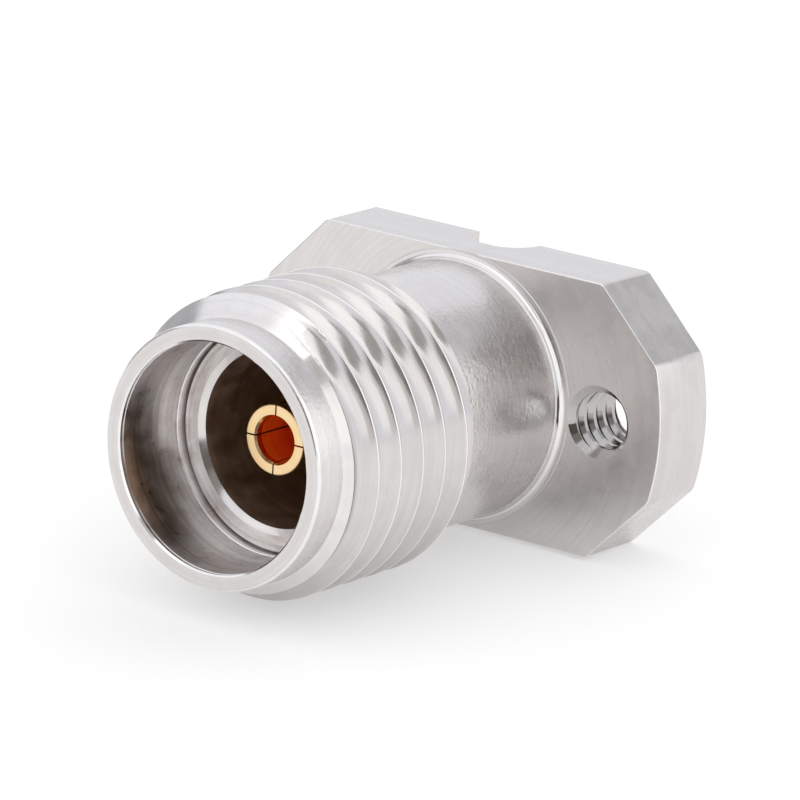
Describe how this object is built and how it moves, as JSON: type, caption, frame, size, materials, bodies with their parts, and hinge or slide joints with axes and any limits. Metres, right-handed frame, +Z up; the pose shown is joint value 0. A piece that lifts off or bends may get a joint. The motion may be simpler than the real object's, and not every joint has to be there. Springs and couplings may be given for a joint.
{
  "type": "pcb compression mount connector",
  "caption": "Female coaxial connector with a threaded barrel, a slotted centre socket and a drilled flange that clamps it to a circuit board without solder.",
  "frame": {"origin": "centre of the board face of the flange, on the mating axis, midway between the screw holes", "axes": "-Y along the mating axis, out of the socket; +X along the flange, through the screw holes; +Z up, the side where the trace channel opens; it lies on its side"},
  "size_m": [0.0102, 0.0095, 0.0062],
  "materials": {
    "stainless_steel": "turned and passivated",
    "gold_plate": "gold plated",
    "bead_plastic": "machined amber plastic",
    "white_plastic": "machined white plastic"
  },
  "bodies": {
    "root": {"body": "stainless_steel", "outer_conductor_sleeve": "stainless_steel", "socket_contact": "gold_plate", "tail_pin": "gold_plate", "support_bead": "bead_plastic", "rear_insulator": "white_plastic"}
  },
  "joints": []
}
